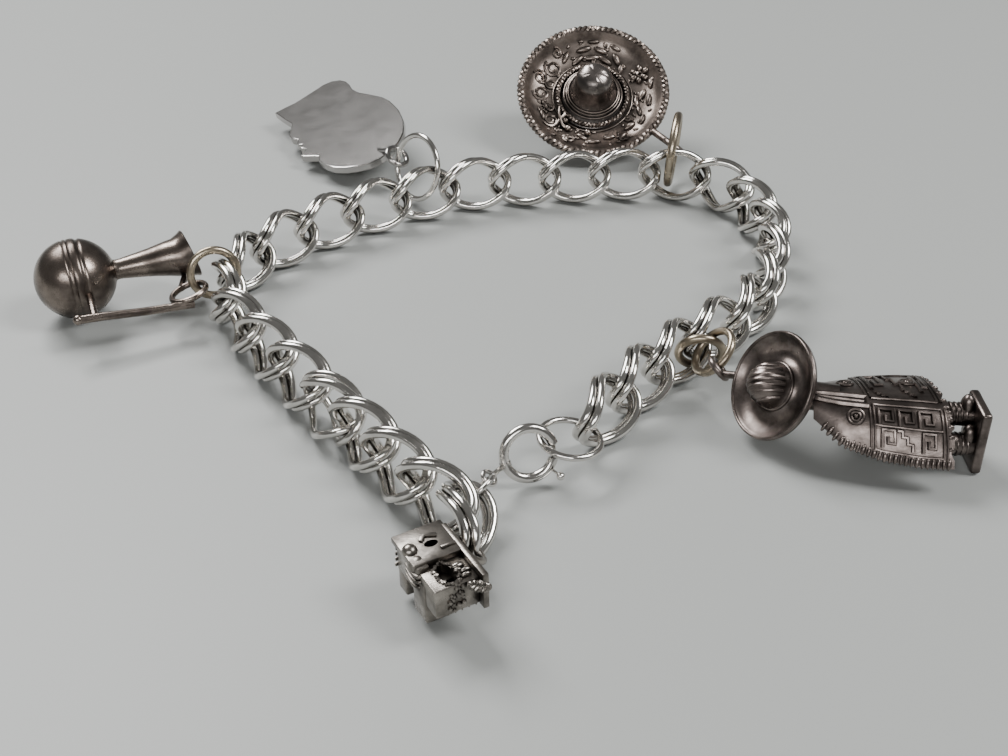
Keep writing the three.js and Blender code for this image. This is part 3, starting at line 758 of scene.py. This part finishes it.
# Raised patterns on the blanket: place along, place across, width, height.
KEYS = (
    (30.9, 0.22, 1.1, 0.5), (35.0, 0.25, 0.6, 0.5), (30.8, 1.26, 1.1, 0.3), (32.4, 1.26, 1.1, 0.3),
    (34.0, 1.26, 1.1, 0.3), (31.0, 1.62, 1.0, 0.24), (34.2, 1.62, 1.0, 0.24),
)
STAIRS = ((32.4, 0.2, 1.1, 0.55), (32.2, 1.62, 1.2, 0.24), (33.3, 0.72, 0.9, 0.16), (30.9, 0.8, 0.9, 0.12))
# The figure's hat, from the top of its crown over the rim to its underside: radius, height.
MAN_HAT = [
    (0, 2.85), (0.5, 2.8), (1, 2.6), (1.3, 2.3), (1.55, 1.9), (1.72, 1.4), (1.85, 0.8), (2.05, 0.3),
    (2.4, -0.05), (2.9, -0.2), (3.4, -0.12), (3.9, 0.12), (4.3, 0.42), (4.52, 0.7), (4.68, 0.75),
    (4.8, 0.5), (4.68, 0.15), (4.3, -0.25), (3.6, -0.6), (2.6, -0.85), (0, -0.9),
]


def make_figure():
    row_places = [25.8 + 10.9 * k / 22 for k in range(23)]
    rows = [path("row", [(blanket_point(x, i / 12) + SHIFT) * MM for i in range(25)]) for x in row_places]
    cloth = join("blanket", *rows)
    edit(cloth)
    for x0, x1 in zip(row_places, row_places[1:]):
        low, high = (x0 + SHIFT.x - 0.05) * MM, (x1 + SHIFT.x + 0.05) * MM
        pick(cloth, lambda c: low < c.x < high)
        bpy.ops.mesh.bridge_edge_loops(type="SINGLE")
    done()
    outward(cloth)
    edit(cloth)
    pick(cloth, lambda c: c.x > (36.5 + SHIFT.x) * MM and int(c.y / MM * 2.2) % 2 == 0)
    bpy.ops.transform.translate(value=(-0.3 * MM, 0, 0))
    done()
    apply(cloth, "SOLIDIFY", thickness=0.7 * MM, offset=-1)
    parts = [outward(cloth)]
    for x, u, w, h in KEYS:
        parts.append(greek_key(x, u, w, h))
    for x, u, w, h in STAIRS:
        parts.append(steps(x, u, w, h))
    for x in (30.15, 30.45, 35.85, 36.15):
        parts.append(raised_line([(x, 0.06), (x, 0.94)], 0.1))
        parts.append(raised_line([(x, 1.12), (x, 1.93)], 0.1))
    for u in (0.12, 0.95, 1.14, 1.57, 1.9):
        parts.append(raised_line([(30.5, u), (35.8, u)], 0.1))
    for x, u in ((29.0, 0.5), (34.3, 0.48), (29.0, 1.5)):
        place, n, along = on_cloth(x, u, 0.05)
        for r, t in ((0.62, 0.14), (0.36, 0.12)):
            o = hoop("button", r * MM, t * MM, 28, 2)
            parts.append(seat(o, frame_of(place, along, n)))
        parts.append(ball("button_middle", place, 0.22 * MM, fine=2))
    parts.append(raised_line([(25.9, 0.9), (30.1, 0.94)], 0.24))
    parts.append(raised_line([(25.9, 1.25), (30.1, 1.22)], 0.24))
    parts.append(raised_line([(30.1, 0.94), (30.1, 1.22)], 0.2))
    parts.append(raised_line([(26.2, 1.06), (29.8, 1.08)], 0.13))
    for k in range(24):
        place, n, along = on_cloth(26.6 + k * 0.42, 1.96, -0.02)
        tuft = ball("tuft", (0, 0, 0), 1, ((0.17 + 0.05 * (k % 2)) * MM, 0.5 * MM, 0.26 * MM), 2)
        parts.append(seat(tuft, frame_of(place, along, n)))
    for k in range(12):
        place, n, along = on_cloth(36.45, 0.1 + k * 0.155, -0.15)
        thread = ball("fringe", (0, 0, 0), 1, (0.35 * MM, 0.2 * MM, 0.3 * MM), 2)
        parts.append(seat(thread, Matrix.Translation(place)))
    far_leg = [at(30, -25.2, 4.8), at(35, -25.6, 4.5), at(38.2, -25.85, 4.35), at(39.4, -25.9, 4.3)]
    near_leg = [at(30, -27.0, 4.2), at(35, -27.6, 3.0), at(38, -27.5, 2.5), at(39.4, -27.4, 2.3)]
    legs = [
        wire("leg", smooth_line(far_leg), 0.98 * MM, 4),
        wire("leg", smooth_line(near_leg), 0.9 * MM, 4),
    ]
    for y, z in ((-25.85, 4.35), (-27.45, 2.4)):
        legs.append(ball("foot", at(38.7, y, z + 0.8), 1, (0.62 * MM, 0.72 * MM, 1.15 * MM), 3))
        for k in range(4):
            strap = hoop("strap", (0.95 - 0.03 * k) * MM, 0.13 * MM, 28, 2)
            upright = Matrix.Rotation(math.pi / 2, 4, "Y")
            legs.append(seat(strap, Matrix.Translation(at(37.3 + 0.42 * k, y, z + 0.05)) @ upright))
    bpy.ops.mesh.primitive_cube_add(size=1, location=at(39.55, -26.5, 3.01))
    sole = bpy.context.object
    sole.scale = (0.88 * MM, 4.16 * MM, 5.94 * MM)
    seat(sole)
    edit(sole)
    bpy.ops.mesh.select_all(action="SELECT")
    bpy.ops.mesh.bevel(offset=0.28 * MM, segments=3, affect="EDGES")
    done()
    man_way = Vector((-0.81, -0.35, 0.47)).normalized()
    man_frame = frame_of(at(23.3, -22.8, 5.1), Vector((0.35, -0.81, 0)), man_way)
    man_hat = turned("man_hat", MAN_HAT, 64)
    hat_bits = [man_hat]
    for k in range(7):
        across = -1.44 + 0.48 * k
        reach = math.sqrt(1.82**2 - across**2)
        pts = []
        for i in range(15):
            q = reach * (i - 7) / 7.0
            r = math.hypot(across, q)
            h = 2.85 * math.sqrt(max(0.0, 1 - (r / 1.92) ** 2))
            pts.append(Vector(((q + across) * 0.707, (q - across) * 0.707, h)) * MM)
        hat_bits.append(wire("rib", pts, 0.19 * MM, 2))
    rim = hoop("man_rim", 4.62 * MM, 0.15 * MM, 64, 3)
    hat_bits.append(seat(rim, Matrix.Translation((0, 0, 0.64 * MM))))
    band = hoop("man_band", 2.0 * MM, 0.2 * MM, 48, 3)
    hat_bits.append(seat(band, Matrix.Translation((0, 0, 0.2 * MM))))
    for o in hat_bits:
        seat(o, man_frame)
    head = ball("man_head", at(25.1, -23.67, 4.93), 1.45 * MM)
    neck_line = smooth_line([at(24.4, -23.4, 4.93), at(26, -24, 5), at(28.2, -24.57, 5.0)])
    shoulders = wire("shoulders", neck_line, 1.25 * MM, 4)
    man_bail = hoop("man_bail", 1.05 * MM, 0.33 * MM, 36, 4)
    seat(man_bail, frame_of(at(19.3, -16.8, 3.1), Vector((0, 1, -0.15)), Vector((0.75, 0.1, 0.65))))
    bail_neck = wire("bail_neck", [at(19.6, -17.75, 3.1), at(21.3, -19.2, 3.8)], 0.35 * MM, 4)
    figure = join("lying_figure", *parts, *legs, sole, *hat_bits, head, shoulders, man_bail, bail_neck)
    finish_piece(figure, FIGURE, "figure_charm", slot="dark_silver", smooth=40)


# ------------------------------------------------------------ little house
CHEVRON = [(1.7, -1.75), (2.3, -1.05), (3.4, -1.5), (3.25, -1.9), (2.4, -1.5), (1.95, -2.0)]
# The bird's body, wing and tail: place, length, width.
BIRD = ((3.3, -5.4, 0.55, 0.3), (3.05, -5.9, 0.4, 0.2), (3.6, -6.2, 0.5, 0.2), (3.4, -6.7, 0.45, 0.18))
HOUSE_SCALE = 0.9


def make_house():
    house_frame = frame_of(at(-8.3, -43.2, 5.5), Vector((0.87, 0.49, 0.02)), Vector((0.05, 0.03, 1)))
    house_frame = house_frame @ Matrix.Scale(HOUSE_SCALE, 4)
    bits = [
        box("roof", (0.03, -4.27, -0.66), (4.57, -0.03, -0.05)),
        box("room", (0.35, -7.3, -3.35), (4.25, -0.3, -0.62)),
        box("side", (4.24, -7.95, -3.55), (4.77, -0.65, -0.04), 0.1),
        box("step", (0.25, -5.55, -5.3), (3.25, -3.25, -1.4), 0.2),
        box("foot", (0.35, -1.75, -5.3), (4.25, -0.3, -3.0), 0.2),
        box("porch", (0.14, -4.6, -2.6), (1.3, -2.6, -0.25), 0.2),
        box("bar", (2.9, -3.5, -0.1), (4.3, -3.15, 0.14), 0.1),
        sheet("chevron", CHEVRON, -0.08, 0.13, 0.05),
    ]
    window = ball("window", Vector((2.5, -2.4, -0.3)) * MM, 1, (0.62 * MM, 0.4 * MM, 1.5 * MM), 3)
    doorway = ball("doorway", Vector((2.15, -5.75, -0.9)) * MM, 1, (0.72 * MM, 1.25 * MM, 1.6 * MM), 3)
    for wall, tool in ((0, window), (1, window), (1, doorway)):
        apply(bits[wall], "BOOLEAN", object=tool, operation="DIFFERENCE", solver="EXACT")
    for tool in (window, doorway):
        bpy.data.objects.remove(tool)
    bits.append(ball("head", Vector((0.62, -2.35, -0.1)) * MM, 0.66 * MM, (1, 1, 0.9)))
    bits.append(ball("body", Vector((0.75, -3.5, -0.75)) * MM, 0.85 * MM, (1, 1.1, 0.9)))
    for k in range(3):
        level = -0.95 - k * 0.55
        line = ((0.16, -2.65, 0), (0.1, -3.6, -0.12), (0.2, -4.5, 0), (0.75, -4.68, 0.05), (1.25, -4.55, 0))
        sash = smooth_line([Vector((x, y, level + up)) * MM for x, y, up in line])
        bits.append(wire("sash", sash, 0.19 * MM, 2))
    for k in range(26):
        x, y, z = 1.5 + random.random() * 1.3, -7.25 - random.random() * 0.12, -3.1 + random.random() * 2.2
        bits.append(ball("moss", Vector((x, y, z)) * MM, (0.14 + random.random() * 0.13) * MM, fine=1))
    for k in range(30):
        a, r = 2 * math.pi * k / 30, 0.95 + 0.25 * random.random()
        place = Vector((2.15 + 0.8 * r * math.cos(a), -5.75 + 1.3 * r * math.sin(a), -0.6)) * MM
        length, width = 0.14 + random.random() * 0.14, 0.12 + random.random() * 0.12
        bits.append(ball("leaf", place, 1, (length * MM, width * MM, 0.2 * MM), 1))
    for x, y, length, width in BIRD:
        feather = (length * MM, width * MM, 0.28 * MM)
        bits.append(ball("bird", Vector((x, y, -0.5)) * MM, 1, feather, 3))
    for k in range(6):
        x = 0.75 + k * 0.62
        bits.append(box("plank", (x, -7.3, -3.45), (x + 0.1, -0.4, -3.28), 0.03))
    for k in range(5):
        low = -3.2 + k * 0.55
        bits.append(box("roof_line", (0.2 + 0.05 * k, -0.2, low), (4.4, -0.02, low + 0.35), 0.06))
    post_line = [Vector((3.4, -7, -1.2)) * MM, Vector((3.4, -8.2, -0.4)) * MM]
    near_post = wire("near_post", post_line, 0.36 * MM, 3)
    for k in (0, 1):
        pts = []
        for i in range(64):
            a, b = 2 * math.pi * i / 64, 2 * math.pi * i * 9 / 64 + k * math.pi
            r = 0.74 + 0.12 * math.cos(b)
            pts.append(Vector((r * math.cos(a), r * math.sin(a), 0.12 * math.sin(b))) * MM)
        strand = wire("strand", pts, 0.14 * MM, 2, closed=True)
        loop_frame = frame_of(Vector((3.4, -8.9, 0)) * MM, Vector((1, 0, -0.3)), Vector((0.3, 0.3, 0.9)))
        bits.append(seat(strand, loop_frame))
    bits.append(near_post)
    for b in bits:
        seat(b, house_frame)
    bail = hoop("house_bail", 1.38 * MM, 0.29 * MM, 44, 4)
    seat(bail, frame_of(at(-2.66, -41.77, 3.05), Vector((-0.31, 0.6, 0)), Vector((-0.6, -0.31, -0.74))))
    neck = wire("house_neck", [at(-3.3, -43, 3.9), at(-4.6, -43.4, 4.4)], 0.36 * MM, 3)
    house = join("little_house", *bits, bail, neck)
    finish_piece(house, HOUSE, "house_charm", slot="dark_silver", smooth=35)


make_chain()
make_rings()
make_clasp()
make_horn()
make_silhouette()
make_sombrero()
make_figure()
make_house()


# ------------------------------------------------------------ floor, light and camera
bpy.ops.mesh.primitive_plane_add(size=3.0, location=(0, 0, -0.0001))
floor = bpy.context.object
floor.name = "floor"
floor_mat = bpy.data.materials.new("pale floor")
floor_mat.use_nodes = True
floor_shader = floor_mat.node_tree.nodes["Principled BSDF"]
floor_shader.inputs["Base Color"].default_value = (0.34, 0.35, 0.34, 1)
floor_shader.inputs["Roughness"].default_value = 0.5
floor.data.materials.append(floor_mat)


def soft_light(name, place, size, power):
    """A large light that looks at the middle of the piece."""
    bpy.ops.object.light_add(type="AREA", location=place)
    o = bpy.context.object
    o.name = name
    o.data.shape = "RECTANGLE"
    o.data.size, o.data.size_y = size
    o.data.energy = power
    o.rotation_euler = (-Vector(place)).to_track_quat("-Z", "Y").to_euler()


soft_light("window", (-0.25, 0.28, 0.42), (0.34, 0.2), 4.2)
soft_light("lamp", (0.32, -0.05, 0.38), (0.14, 0.22), 2.0)
soft_light("card", (-0.05, -0.34, 0.2), (0.3, 0.08), 0.7)
world = bpy.data.worlds.new("room")
bpy.context.scene.world = world
world.use_nodes = True
background = world.node_tree.nodes["Background"]
background.inputs["Color"].default_value = (0.42, 0.42, 0.41, 1)
background.inputs["Strength"].default_value = 0.36

# Degrees, and millimetres on a sensor 36 mm wide.
LOOKING_DOWN, FOCAL_LENGTH = 33, 48.642857
bpy.ops.object.camera_add(location=at(0, -120, 69.1))
camera = bpy.context.object
camera.rotation_euler = (math.radians(90 - LOOKING_DOWN), 0, 0)
camera.data.sensor_width = 36
camera.data.lens = FOCAL_LENGTH
camera.data.clip_start = 0.005
bpy.context.scene.camera = camera
